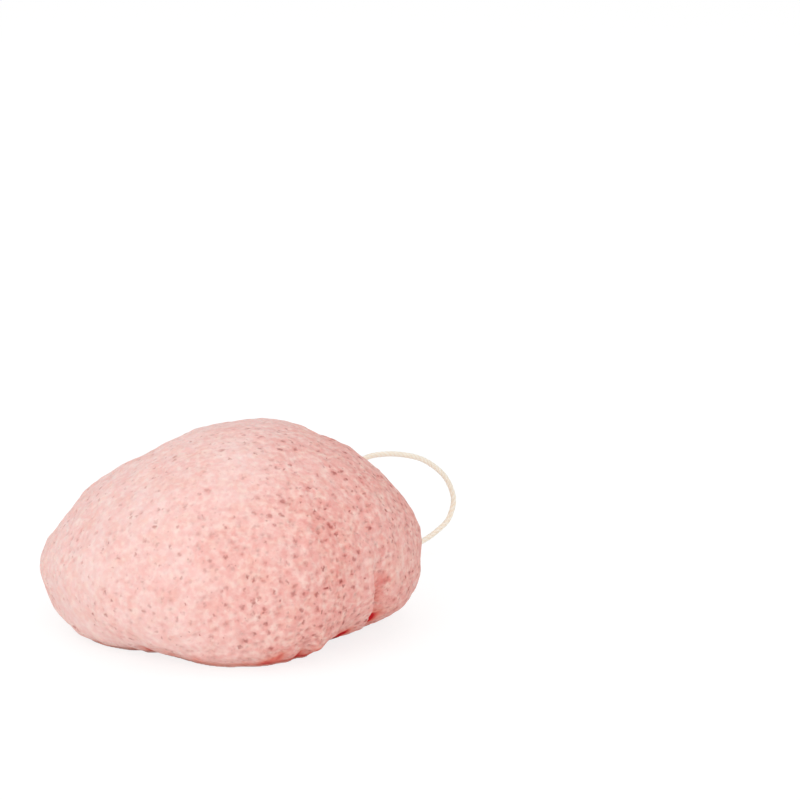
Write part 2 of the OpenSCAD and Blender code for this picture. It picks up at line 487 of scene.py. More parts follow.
@dataclass(frozen=True)
class TwistedCottonCord:
    """Unbleached cotton cord, spun and laid up from three plies.

    To the eye it is creamy white and quite matt, with fine fibres along each ply, a groove between the
    plies darkened with painted shade, and a soft fuzz that blurs its edge.
    """

    fibre: str = "#fffbf1"
    warm_fibre: str = "#ffefd8"
    # Painted shade in the groove between the plies
    groove: str = "#fcebd4"
    # Cotton fibres, about 0.02 mm thick, are too fine to show, so they are drawn as coarser bundles
    bundle_width: float = 0.09
    bundle_run: float = 0.9
    bundle_relief: Pair = (0.8, 0.06)
    roughness: float = 0.85
    ior: float = 1.53
    gloss: float = 0.25
    sheen: float = 0.6
    sheen_roughness: float = 0.5

    def build(self) -> Material:
        """Makes the cord's material.

        Returns:
            The material.
        """
        material, tree = new_material("twisted_cotton_cord")
        straight = add_node(tree, "Attribute", attribute_name=Mark.STRAIGHT.value).outputs["Vector"]
        pit = add_node(tree, "Attribute", attribute_name=Mark.PIT.value).outputs["Fac"]
        across, along = per_metre(self.bundle_width), per_metre(self.bundle_run)
        combed = add_node(tree, "VectorMath", (straight, (across, across, along)), operation="MULTIPLY")
        fibres = add_node(tree, "TexNoise", {"Vector": combed, "Scale": 1.0, "Detail": 2.0})
        # The groove between the plies is darkened with painted shade
        layers = [(self.warm_fibre, fibres, 0.4, 0.65, 1.0), (self.groove, pit, 0.0, 1.0, 1.0)]
        strength, depth = self.bundle_relief
        raised = {"Strength": strength, "Distance": depth * MM, "Height": fibres}
        looks = {
            "Base Color": layered(tree, self.fibre, layers),
            "Roughness": self.roughness,
            "IOR": self.ior,
            "Sheen Weight": self.sheen,
            "Sheen Roughness": self.sheen_roughness,
            "Specular IOR Level": self.gloss,
            "Normal": add_node(tree, "Bump", raised),
        }
        add_node(tree, "OutputMaterial", (add_node(tree, "BsdfPrincipled", looks),))
        return material


@dataclass(frozen=True)
class MattWhitePaper:
    """Seamless studio paper: matt and plain, white to the camera, which still shows a faint shadow."""

    sheet: str = "#f4f4f3"
    roughness: float = 0.95
    # How much of what is seen is plain white, and how bright that is
    whitening: float = 0.72
    white_level: float = 1.12

    def build(self) -> Material:
        """Makes the paper's material.

        Returns:
            The material.
        """
        material, tree = new_material("matt_white_paper")
        looks = {"Base Color": linear(self.sheet), "Roughness": self.roughness, "Specular IOR Level": 0.0}
        paper = add_node(tree, "BsdfPrincipled", looks)
        white = add_node(tree, "Emission", (linear(WHITE), self.white_level))
        rays = add_node(tree, "LightPath").outputs
        seen = add_node(tree, "Math", (rays["Is Camera Ray"], rays["Is Glossy Ray"]), operation="MAXIMUM")
        amount = add_node(tree, "Math", (seen, self.whitening), operation="MULTIPLY")
        add_node(tree, "OutputMaterial", (add_node(tree, "MixShader", (amount, paper, white)),))
        return material


@dataclass
class Studio:
    """The camera, the soft lights and the paper floor."""

    eye_m: Triple = (0.035614, -0.752952, 0.274183)
    pitch_down: float = 16.72
    frame_px: float = 800.0
    focal_px: float = 3785.0
    sensor: float = 36.0
    nearest_m: float = 0.01
    # Each lamp's name, its place and the length of its side in metres, and its power in watts
    lamps: tuple = (
        ("key_softbox", (-0.7, -0.6, 0.5), 0.9, 2.85),
        ("top_softbox", (0.0, 0.1, 0.9), 0.9, 1.8),
        ("front_softbox", (0.4, -0.9, 0.2), 0.8, 3.0),
    )
    aim_m: Triple = (0.0, 0.0, 0.02)
    world_level: float = 0.62
    floor_size_m: float = 8.0
    floor_drop_m: float = 0.0002

    def place_camera(self) -> None:
        """Stands the camera where the photograph was taken from."""
        data = bpy.data.cameras.new("photo_camera")
        data.sensor_width = self.sensor
        data.lens = self.sensor * self.focal_px / self.frame_px
        data.clip_start = self.nearest_m
        camera = bpy.data.objects.new("photo_camera", data)
        camera.location = self.eye_m
        camera.rotation_euler = (math.radians(90 - self.pitch_down), 0, 0)
        bpy.context.scene.collection.objects.link(camera)
        bpy.context.scene.camera = camera

    def hang_lamps(self) -> None:
        """Hangs the large soft lamps, which all face the sponge."""
        for name, place, size, power in self.lamps:
            data = bpy.data.lights.new(name, "AREA")
            data.size = size
            data.energy = power
            lamp = bpy.data.objects.new(name, data)
            lamp.location = place
            lamp.rotation_euler = (Vector(self.aim_m) - Vector(place)).to_track_quat("-Z", "Y").to_euler()
            bpy.context.scene.collection.objects.link(lamp)

    def light_room(self) -> None:
        """Sets an even white world, plain white to the camera, and plain colours in the picture."""
        scene = bpy.context.scene
        scene.world = bpy.data.worlds.new("white_studio")
        scene.world.use_nodes = True
        tree = scene.world.node_tree
        tree.nodes.clear()
        room, white = (
            add_node(tree, "Background", (linear(WHITE), level)) for level in (self.world_level, 1.0)
        )
        seen = add_node(tree, "LightPath").outputs["Is Camera Ray"]
        add_node(tree, "OutputWorld", (add_node(tree, "MixShader", (seen, room, white)),))
        scene.view_settings.view_transform = "Standard"

    def lay_floor(self) -> None:
        """Lays the paper just under the sponge."""
        half, low = self.floor_size_m / 2, -self.floor_drop_m
        corners = np.array([[-half, -half, low], [half, -half, low], [half, half, low], [-half, half, low]])
        floor = mesh_object("paper_floor", corners, [(0, 1, 2, 3)])
        floor.data.materials.append(MattWhitePaper().build())


@dataclass
class Needle:
    """The line of the needle hole, read from the frame: from the knot's middle out to the mouth."""

    mouth: np.ndarray
    along: np.ndarray
    knot_height: float = 4.2
    knot: np.ndarray = field(init=False)
    over: np.ndarray = field(init=False)
    length: float = field(init=False)

    def __post_init__(self) -> None:
        """Works out the knot's place and the upright direction square to the line."""
        self.length = (self.mouth[2] - self.knot_height) / self.along[2]
        self.knot = self.mouth - self.along * self.length
        self.over = unit(UP - UP @ self.along * self.along)

    @classmethod
    def from_frame(cls, frame: dict) -> Needle:
        """Reads the line from the joint that turns the string in its hole.


        Returns:
            The needle hole's line.
        """
        joint = next(j for j in frame["joints"] if j["child"] == Body.STRING.value)
        return cls(np.array(joint["pos_m"]) / MM, unit(np.array(joint["axis"], float)))

    def point(self, height: float, out: float = 0.0, angle: float = 0.0) -> np.ndarray:
        """Gives a point near the line.

        Args:
            height: How far it is from the knot's middle towards the mouth.
            out: How far it is from the line.
            angle: Its direction round the line in degrees, from straight above.

        Returns:
            The point.
        """
        side = np.cross(self.along, self.over)
        turn = math.radians(angle)
        return self.knot + self.along * height + out * (math.cos(turn) * self.over + math.sin(turn) * side)


@dataclass
class CottonCord:
    """The one cotton cord: a clipped end, the knot, a strand, the loop, a strand and the other end."""

    needle: Needle
    diameter: float = 1.2
    strand_gap: float = 0.2
    knot_wraps: int = 3
    wrap_step: int = 20
    tail_length: float = 2.0
    # How far into the hole the loop's piece reaches
    tucked: float = 3.0
    plies: int = 3
    lay_length: float = 4.2
    groove_share: float = 0.08
    sides: int = 27
    step: float = 0.28
    fibre_r: float = 0.014
    # The lowest that a stray fibre lies over the table
    clearance: float = 0.04
    # A fibre's three directions across in radians, how much thinner each ring is than the one before,
    # and the shortest fibre, as shares
    fibre_turns: Triple = (0.0, 2.1, 4.2)
    fibre_taper: float = 0.25
    shortest_fibre: float = 0.3
    # How far out from the mouth, how far to the back and how high above the table
    loop_route: tuple[Triple, ...] = (
        (1.5, 0, 24.5), (3.5, 0, 26), (6.5, 0, 26.5), (10, 0, 26), (13, 0, 25.5), (16.5, 0, 24.5),
        (19.5, 0, 23.5), (23, 0, 22), (26, 0, 20), (28.5, 0, 18), (30.5, 0, 16), (32, 0, 13.5),
        (33, 0, 11), (33, 0, 9), (32, 0, 7), (31, 0, 5.5), (28.5, 0, 4.5), (26, 0, 3.5),
        (23.5, 0, 3), (20.5, 0, 2.5), (18, -0.5, 2), (15.5, -1, 1), (13, -1, 0.6), (10.5, -1, 1.5),
        (8.5, -1, 3.5), (7, -0.5, 6), (6.5, 0, 9), (6, 0, 12), (6, 0, 15), (6, 0, 18),
        (5.5, 0, 20.5), (4, 0, 22.5), (1.5, 0, 22.5),
    )  # fmt: skip
    # The faces of one stray fibre: three rings of three points, and its tip
    spike: tuple[tuple[int, ...], ...] = (
        (0, 1, 4, 3), (1, 2, 5, 4), (2, 0, 3, 5), (3, 4, 7, 6), (4, 5, 8, 7), (5, 3, 6, 8),
        (6, 7, 9), (7, 8, 9), (8, 6, 9), (0, 2, 1),
    )  # fmt: skip
    line: np.ndarray = field(init=False)
    walked: np.ndarray = field(init=False)
    headings: np.ndarray = field(init=False)
    across: np.ndarray = field(init=False)
    cuts: list[float] = field(init=False)

    def __post_init__(self) -> None:
        """Lays the whole cord out as one smooth line, and finds the two places where it is cut."""
        offset = (self.diameter + self.strand_gap) / 2
        upper, lower = self.wrapped_end(offset), self.straight_end(-offset)
        smooth = self.spline(np.array([*upper, *self.loop_points(offset), *lower[::-1]]))
        lengths = np.concatenate([[0], np.cumsum(np.linalg.norm(np.diff(smooth, axis=0), axis=1))])
        self.walked = np.linspace(0, lengths[-1], int(lengths[-1] / self.step) + 1)
        self.line = np.stack([np.interp(self.walked, lengths, smooth[:, i]) for i in range(3)], axis=1)
        self.headings = unit(np.gradient(self.line, axis=0))
        self.across = self.carried_frames()
        inside = [self.needle.point(self.needle.length - self.tucked, side * offset) for side in (1, -1)]
        self.cuts = [self.walked[np.argmin(np.linalg.norm(self.line - p, axis=1))] for p in inside]

    def spline(self, control: np.ndarray, samples: int = 12) -> np.ndarray:
        """Draws a smooth line near its control points, from the first to the last.

        Args:
            control: The control points.
            samples: How many points each stretch gets.

        Returns:
            The line's points.
        """
        padded = np.array([control[0]] * 2 + list(control) + [control[-1]] * 2)
        t = np.linspace(0, 1, samples, endpoint=False)[:, None]
        weights = [(1 - t) ** 3, 3 * t**3 - 6 * t**2 + 4, -3 * t**3 + 3 * t**2 + 3 * t + 1, t**3]
        stretches = [
            sum(w * padded[i + k] for k, w in enumerate(weights)) / 6 for i in range(len(padded) - 3)
        ]
        return np.array([*np.concatenate(stretches), control[-1]])

    def strand(self, offset: float, low: float) -> list[np.ndarray]:
        """Gives points of a strand in the hole, about 2 mm apart, up to the mouth.

        Args:
            offset: Its distance from the hole's line, upwards.
            low: Where it starts, from the knot's middle.

        Returns:
            The points.
        """
        level = math.hypot(*self.needle.along[:2])
        high = self.needle.length + offset * self.needle.along[2] / level - 2 * self.step
        return [self.needle.point(h, offset) for h in np.linspace(low, high, int((high - low) / 2) + 2)]

    def wrapped_end(self, offset: float) -> list[np.ndarray]:
        """Gives the upper strand from its clipped end, through the knot's wraps, to the mouth.

        Args:
            offset: The strand's distance from the hole's line.

        Returns:
            The points.
        """
        thick, turns = self.diameter, self.knot_wraps - 1
        half, wrap_out = turns * thick / 2, offset + thick
        tail_low = -self.knot_wraps * thick / 2 - self.tail_length
        # Height from the knot's middle, distance from the hole's line and direction round it
        ends = [
            (tail_low, wrap_out, 20),
            (tail_low + thick, wrap_out - self.strand_gap, 25),
            (-half - 1.2 * thick, wrap_out - self.strand_gap, 40),
        ]
        wraps = [
            (-half + 2 * half * (turned / (360 * turns)), wrap_out, 90 + turned)
            for turned in range(0, 360 * turns + 1, self.wrap_step)
        ]
        leaving = [
            (half + 0.7 * thick, wrap_out - 0.3 * thick, 60),
            (half + 1.3 * thick, offset + 0.2 * thick, 20),
        ]
        points = [self.needle.point(*place) for place in ends + wraps + leaving]
        return points + self.strand(offset, half + 2.4 * thick)

    def straight_end(self, offset: float) -> list[np.ndarray]:
        """Gives the lower strand from its clipped end, straight through the knot, to the mouth.

        Args:
            offset: The strand's distance from the hole's line.

        Returns:
            The points.
        """
        half, tail = self.knot_wraps * self.diameter / 2, self.tail_length
        # Height from the knot's middle, and the strand's distance from the line as a share
        places = ((-half - tail, 1.6), (-half - tail / 2, 1.1), (-half / 2, 0.5), (half / 2, 0.5))
        points = [self.needle.point(height, offset * share) for height, share in places]
        return points + self.strand(offset, half + self.diameter)

    def loop_points(self, offset: float) -> list[np.ndarray]:
        """Gives the loop's route, from the mouth out and back to it.

        Args:
            offset: Each strand's distance from the hole's line.

        Returns:
            The points.
        """
        mouth = self.needle.mouth
        aside = unit(mouth * LEVEL)
        backward = np.array([-aside[1], aside[0], 0])
        end_up = offset / math.hypot(*self.needle.along[:2]) * UP
        route = [mouth * LEVEL + p[0] * aside + p[1] * backward + p[2] * UP for p in self.loop_route]
        return [mouth + end_up, *route, mouth - end_up]

    def carried_frames(self) -> np.ndarray:
        """Carries one cross direction along the line without turning it.

        Returns:
            A direction square to the line at each of its points.
        """
        carried = unit(np.cross(self.headings[0], UP))
        frames = []
        for heading in self.headings:
            carried = unit(carried - carried @ heading * heading)
            frames.append(carried)
        return np.array(frames)

    def between(self, start: float, end: float) -> np.ndarray:
        """Says which points of the line lie between two lengths along the cord."""
        return (self.walked >= start - 1e-6) & (self.walked <= end + 1e-6)

    def tube(self, start: float, end: float) -> CordPart:
        """Sweeps the plied cord along part of its line.

        Args:
            start: Where the part starts, as a length along the cord.
            end: Where it ends.

        Returns:
            The part of the cord.
        """
        kept = self.between(start, end)
        centres, across, walked = self.line[kept], self.across[kept], self.walked[kept]
        second = np.cross(self.headings[kept], across)
        angles = np.arange(self.sides) * 2 * math.pi / self.sides
        ply_angles = angles - 2 * math.pi * walked[:, None] / self.lay_length
        dip = np.abs(np.sin(ply_angles * self.plies / 2)) ** 3
        radii = self.diameter / 2 * (1 - self.groove_share * dip)
        outward = np.cos(angles)[:, None] * across[:, None] + np.sin(angles)[:, None] * second[:, None]
        rings = centres[:, None] + radii[..., None] * outward
        lengths = np.broadcast_to(walked[:, None], radii.shape)
        straight = np.stack([radii * np.cos(ply_angles), radii * np.sin(ply_angles), lengths], axis=2)
        points = np.concatenate([rings.reshape(-1, 3), centres[[0, -1]]])
        laid = np.concatenate([straight.reshape(-1, 3), [[0, 0, walked[0]], [0, 0, walked[-1]]]])
        deep = np.concatenate([dip.ravel() ** 2, [0.5, 0.5]])
        return points, capped_rings(len(centres), self.sides), deep, laid

    def fuzz(
        self, start: float, end: float, count: int, longest: float, rng: np.random.Generator
    ) -> CordPart:
        """Grows short stray fibres on part of the cord, each a thin closed spike.

        Args:
            start: Where the part starts, as a length along the cord.
            end: Where it ends.
            count: How many fibres grow.
            longest: Length of the longest fibre.
            rng: The source of the fibres' places and bends.

        Returns:
            The fibres, as a part of the cord.
        """
        points, faces = [], []
        for _ in range(count):
            i = int(np.interp(rng.uniform(start, end), self.walked, np.arange(len(self.walked))))
            angle = rng.uniform(0, 2 * math.pi)
            second = np.cross(self.headings[i], self.across[i])
            outward = math.cos(angle) * self.across[i] + math.sin(angle) * second
            lie = self.headings[i] * rng.choice([-1, 1])
            length = longest * rng.uniform(self.shortest_fibre, 1)
            lifted = 0.2 + 0.15 * rng.uniform(0, 1)
            # How far each ring lies along the cord and out from it, as shares of the fibre's length
            bends = [(0, -0.08), (0.4, 0.1), (0.75, lifted), (1, rng.uniform(0.2, 0.5))]
            root = self.line[i] + outward * self.diameter / 2 * (1 - self.groove_share / 2)
            faces += [tuple(len(points) + k for k in face) for face in self.spike]
            centres = [root + length * (run * lie + rise * outward) for run, rise in bends]
            for centre in centres:
                centre[2] = max(centre[2], self.clearance)
            for k, centre in enumerate(centres[:-1]):
                thin = self.fibre_r * (1 - self.fibre_taper * k)
                for turn in self.fibre_turns:
                    side = math.cos(turn) * outward + math.sin(turn) * np.cross(lie, outward)
                    points.append(centre + thin * side)
            points.append(centres[-1])
        return np.array(points), faces, np.zeros(len(points)), np.array(points)

    def piece(
        self, name: str, runs: list[Pair], brushes: list[tuple[float, float, int, float]]
    ) -> Object:
        """Makes one piece of the cord.

        Args:
            name: The piece's name.
            runs: The parts of the cord that it holds, as lengths along the cord.
            brushes: Where fibres grow on it: start, end, count and length of the longest.

        Returns:
            The piece, with its material's marks.
        """
        rng = np.random.default_rng(SEED + len(name))
        parts = [self.tube(*run) for run in runs] + [self.fuzz(*brush, rng) for brush in brushes]
        faces, count = [], 0
        for part_points, part_faces, _, _ in parts:
            faces += [tuple(i + count for i in face) for face in part_faces]
            count += len(part_points)
        points, deep, laid = (np.concatenate([part[i] for part in parts]) for i in (0, 2, 3))
        made = mesh_object(name, points * MM, faces)
        set_mark(made, Mark.PIT, deep)
        set_mark(made, Mark.STRAIGHT, laid * MM)
        return made


@dataclass
class HangingLoop:
    """The loop of cord that stands out of the foam's rear right flank."""

    cord: CottonCord
    finish: Material
    # How far before and after the mouth the two planes lie, square to the hole's line; the loop's way back
    # hangs under the mouth and meets them too
    bend_start: float = 1.2
    bend_end: float = 4.0
    fuzz_per_mm: float = 5.0
    longest_fibre: float = 0.7

    def build(self) -> Object:
        """Makes the loop's mesh, with stray fibres outside the hole.

        Returns:
            The loop's piece.
        """
        start, end = self.cord.cuts
        inside = self.cord.tucked
        fibres = int(self.fuzz_per_mm * (end - start))
        brush = (start + inside, end - inside, fibres, self.longest_fibre)
        return self.cord.piece("hanging_loop_cord", [(start, end)], [brush])

    def dress(self, piece: Object) -> None:
        """Gives the loop its finish.

        Args:
            piece: The loop's piece.
        """
        piece.data.materials.append(self.finish)
        start, end = self.cord.cuts
        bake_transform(piece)
        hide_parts(Node.LOOP.value)
        self.cord.line[self.cord.between(start, end)] * MM


@dataclass
class KnottedString:
    """The cord's two strands in the needle hole and the knot that holds them under the foam."""

    cord: CottonCord
    finish: Material
    knot_reach: float = 3.4
    frayed: float = 0.8
    # How far before the strands start the knot's fibres stop
    plain_end: float = 2.0
    # How many fibres grow, and the longest, on the knot and on each clipped end
    knot_fuzz: tuple[int, float] = (70, 0.5)
    end_fuzz: tuple[int, float] = (60, 0.8)

    def build(self) -> list[tuple[Object, Node]]:
        """Makes the strands' and the knot's meshes.

        Returns:
            Each piece with the node that it stands for.
        """
        cord, needle = self.cord, self.cord.needle
        above = cord.walked[(cord.line - needle.knot) @ needle.along > self.knot_reach]
        first, last, tip = above[0], above[-1], cord.walked[-1]
        strands = cord.piece("needle_hole_strands", [(first, cord.cuts[0]), (cord.cuts[1], last)], [])
        brushes = [
            (self.frayed, first - self.plain_end, *self.knot_fuzz),
            (0, self.frayed, *self.end_fuzz),
            (tip - self.frayed, tip, *self.end_fuzz),
        ]
        knot = cord.piece("wrapped_cord_knot", [(0, first), (last, tip)], brushes)
        return [(strands, Node.STRANDS), (knot, Node.KNOT)]

    def dress(self, piece: Object, node: Node) -> None:
        """Gives one piece its finish.

        Args:
            piece: The piece.
            node: The node that it stands for.
        """
        piece.data.materials.append(self.finish)
        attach(piece, Body.STRING.value)
        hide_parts(node.value)


@dataclass
class FoamShape:
    """The foam's formula, with the sizes and shares of the construction source."""

    width: float = 80.0
    depth: float = 72.0
    height: float = 42.0
    belly_height: float = 12.5
    hem_inset: float = 8.0
    crown_offset: float = 4.0
    lobe_depth: float = 3.5
    hem_tuck: float = 7.0
    belly_lift: float = 2.0
    lump_height: float = 1.2
    fold_depth: float = 3.0
    lip_height: float = 0.5
    slope_power: float = 2.0
    lean_power: float = 1.3
    fold_azimuth: float = 326.6
    fold_sweep: float = 10.0
    fold_bend_share: float = 0.4
    fold_spread: float = 4.5
    lip_spread: float = 1.3
    fold_height_share: float = 0.21
    fold_reach_share: float = 0.21
    # Azimuth, spread in degrees, share
    belly_lobe_shares: tuple = (
        (300, 14, 0.2), (352, 16, 0.3), (275, 30, 0.1), (210, 22, -0.4), (178, 20, -0.3),
        (35, 25, -0.15), (120, 25, -0.2),
    )  # fmt: skip
    belly_lift_shares: tuple = ((334, 12, 1), (350, 16, 0.3), (240, 20, 0.3))
    hem_tuck_shares: tuple = ((330, 25, 1), (345, 12, 0.4), (240, 22, 1), (186, 14, 0.7), (100, 25, 0.3))
    slope_power_shares: tuple = ((180, 60, -0.2), (142, 24, -0.06), (0, 60, -0.04), (270, 50, 0.05))
    # Azimuth, spread in degrees, height and its spread as shares of the height, share
    lump_shares: tuple = (
        (240, 6, 0.11, 0.1, -0.3), (301, 4, 0.1, 0.09, -0.5), (318, 4, 0.12, 0.11, -1),
        (320, 9, 0.04, 0.15, -2), (202, 6, 0.15, 0.12, -0.8), (170, 8, 0.1, 0.1, -0.7),
        (140, 6, 0.12, 0.11, -0.9), (100, 7, 0.1, 0.1, -0.8), (72, 6, 0.14, 0.12, -0.8),
        (22, 6, 0.12, 0.12, -0.8), (50, 24, 0.92, 0.06, 1), (145, 20, 0.84, 0.12, -1),
        (160, 12, 0.6, 0.08, 0.5), (290, 22, 0.55, 0.18, 0.5), (250, 18, 0.6, 0.15, -0.5),
        (340, 18, 0.6, 0.15, 0.3), (210, 20, 0.45, 0.15, 0.4), (120, 20, 0.5, 0.2, 0.6),
        (80, 18, 0.72, 0.14, -0.5), (4, 16, 0.48, 0.14, 0.7),
    )  # fmt: skip
    # Small notches that the construction leaves out, in the same terms
    notch_shares: tuple = (
        (323.5, 2.4, 0.04, 0.05, -1.3), (335, 2.4, 0.105, 0.05, -1.3), (312, 2, 0.05, 0.05, -0.7),
        (301.5, 2.2, 0.06, 0.06, -0.9), (293, 2.2, 0.06, 0.05, -0.7), (279, 2.5, 0.04, 0.04, -0.5),
        (239.5, 1.8, 0.04, 0.05, -0.7), (231, 1.8, 0.03, 0.05, -0.6), (320, 2.6, 0.06, 0.06, 0.7),
        (306.5, 2.4, 0.07, 0.06, 0.5), (235, 2, 0.05, 0.06, 0.4), (130, 2.6, 0.05, 0.06, -0.8),
        (64, 2.4, 0.05, 0.06, -0.8), (253, 10, 0.02, 0.05, -0.45), (299, 9, 0.02, 0.05, -0.4),
    )  # fmt: skip
    # Shallow dents and swells of the skin, in the same terms, which move it square to itself
    dent_shares: tuple = (
        (168, 9, 0.5, 0.09, -0.5), (158, 9, 0.845, 0.05, -0.45), (112, 22, 0.945, 0.05, -0.4),
        (38, 6, 0.9, 0.05, -0.6), (200, 12, 0.085, 0.08, 0.4), (356, 10, 0.22, 0.1, 0.3),
        (0, 8, 0.48, 0.08, 0.2),
    )  # fmt: skip
    # A dark red spot of painted shade on the fold's right side, where the pores also open wider, in the
    # same terms
    fold_shade_spot_shares: tuple = ((330.6, 2, 0.345, 0.028, 0.9),)
    # Red spots of painted shade and painted glow in the notches, in the same terms
    glow_shares: tuple = (
        (335, 2.4, 0.068, 0.07, 1.9), (323.2, 2.8, 0.045, 0.045, 2.3), (306.5, 2.2, 0.06, 0.03, 0.5),
        (300.5, 2, 0.05, 0.03, 0.6), (292, 2.5, 0.06, 0.03, 0.5), (287.5, 3, 0.04, 0.03, 0.4),
        (240, 2.5, 0.04, 0.035, 0.6), (261.5, 3, 0.05, 0.03, 0.3), (251, 3, 0.04, 0.03, 0.3),
    )  # fmt: skip
    columns: int = 432
    # How many degrees the columns crowd towards the fold
    crowding: float = 34.0
    hem_rows: int = 22
    dome_rows: int = 84
    base_rows: int = 26
    middle: np.ndarray = field(init=False)

    def turn(self, a: np.ndarray, centre: float) -> np.ndarray:
        """Gives how far azimuth a is from centre, in degrees from -180 to 180."""
        return (a - centre + 900) % 360 - 180

    def bump(self, a: np.ndarray, centre: float, spread: float) -> np.ndarray:
        """Gives a bell curve over the azimuth."""
        return np.exp(-((self.turn(a, centre) / spread) ** 2))

    def bumps(self, a: np.ndarray, rows: tuple) -> np.ndarray:
        """Adds up one table's bell curves at azimuth a."""
        return sum(share * self.bump(a, centre, spread) for centre, spread, share in rows)

    def band(self, z: np.ndarray, share: float, spread_share: float) -> np.ndarray:
        """Gives a bell curve over the height."""
        return np.exp(-(((z / self.height - share) / spread_share) ** 2))

    def spots(self, a: np.ndarray, z: np.ndarray, rows: tuple) -> np.ndarray:
        """Adds up one table's round bumps at azimuth a and height z."""
        return sum(
            share * self.bump(a, centre, spread) * self.band(z, high, reach)
            for centre, spread, high, reach, share in rows
        )

    def fold(self, a: np.ndarray, z: np.ndarray) -> np.ndarray:
        """Gives the fold's depth, steep on its left side, where the lobe's lip stands proud of it.

        Args:
            a: The azimuth in degrees.
            z: The height.

        Returns:
            The depth, which is below 0 on the lip.
        """
        foot = np.maximum(0, 1 - z / (self.fold_bend_share * self.height)) ** 2
        away = self.turn(a, self.fold_azimuth + self.fold_sweep * foot)
        spread = np.where(away < 0, self.lip_spread, self.fold_spread)
        cleft = self.fold_depth * np.exp(-((away / spread) ** 2))
        lip = self.lip_height * np.exp(-((away / self.lip_spread + 2) ** 2))
        return (cleft - lip) * self.band(z, self.fold_height_share, self.fold_reach_share)

    def lean(self, z: np.ndarray) -> np.ndarray:
        """Gives how far the skin leans to the right at height z."""
        up = np.clip((z - self.belly_height) / (self.height - self.belly_height), 0, 1)
        return self.crown_offset * up**self.lean_power

    def azimuth_of(self, points: np.ndarray) -> np.ndarray:
        """Gives the azimuth in degrees at which the formula made each point of the surface."""
        ahead = points[:, 0] + self.middle[0] - self.lean(points[:, 2])
        return np.degrees(np.arctan2(points[:, 1] + self.middle[1], ahead))

    def skin(self, a: np.ndarray, r: np.ndarray, z: np.ndarray, fade: float) -> np.ndarray:
        """Puts lumps, the fold and the lean on a smooth point.

        Args:
            a: The azimuth in degrees.
            r: The reach from the middle.
            z: The height.
            fade: How much of the lumps and the fold the point gets.

        Returns:
            The points.
        """
        lumps = self.spots(a, z, self.lump_shares + self.notch_shares)
        far = r + fade * (self.lump_height * lumps - self.fold(a, z))
        turn = np.radians(a)
        return np.stack([far * np.cos(turn) + self.lean(z), far * np.sin(turn), z], axis=-1)

    def row(self, a: np.ndarray, u: float) -> np.ndarray:
        """Gives one row of the skin's points, on the hem below the belly or on the dome above it.

        Args:
            a: The azimuths in degrees.
            u: From -1 at the flat face, through 0 at the belly, to 1 at the crown.

        Returns:
            The points.
        """
        turn = np.radians(a)
        plan = 1 / np.hypot(np.cos(turn) * 2 / self.width, np.sin(turn) * 2 / self.depth)
        reach = plan + self.lobe_depth * self.bumps(a, self.belly_lobe_shares)
        belly = self.belly_height + self.belly_lift * self.bumps(a, self.belly_lift_shares)
        up, out = math.sin(abs(u) * math.pi / 2), math.cos(u * math.pi / 2)
        if u < 0:
            inset = self.hem_inset + self.hem_tuck * self.bumps(a, self.hem_tuck_shares)
            return self.skin(a, reach - inset * (1 - out), belly * (1 - up), 1)
        power = 2 / (self.slope_power * (1 + self.bumps(a, self.slope_power_shares)))
        return self.skin(a, reach * out**power, belly + (self.height - belly) * up**power, out)

    def surface(self) -> tuple[np.ndarray, Faces]:
        """Makes the closed skin of the whole foam, with its middle on the origin.

        Returns:
            The points in millimetres and the faces.
        """
        share = np.arange(self.columns) / self.columns
        a = (self.fold_azimuth + 360 * share - self.crowding * np.sin(2 * math.pi * share)) % 360
        edge = self.row(a, -1)
        rows = [edge * [i / self.base_rows, i / self.base_rows, 1] for i in range(1, self.base_rows)]
        rows += [self.row(a, i / self.hem_rows - 1) for i in range(self.hem_rows)]
        rows += [self.row(a, i / self.dome_rows) for i in range(self.dome_rows)]
        points = np.concatenate(rows)
        points[:, 2] = np.maximum(points[:, 2], 0)
        ends = np.array([[0, 0, 0], [self.crown_offset, 0, self.height]])
        self.middle = (points.max(0) + points.min(0)) / 2 * LEVEL
        return np.concatenate([points, ends]) - self.middle, capped_rings(len(rows), self.columns)


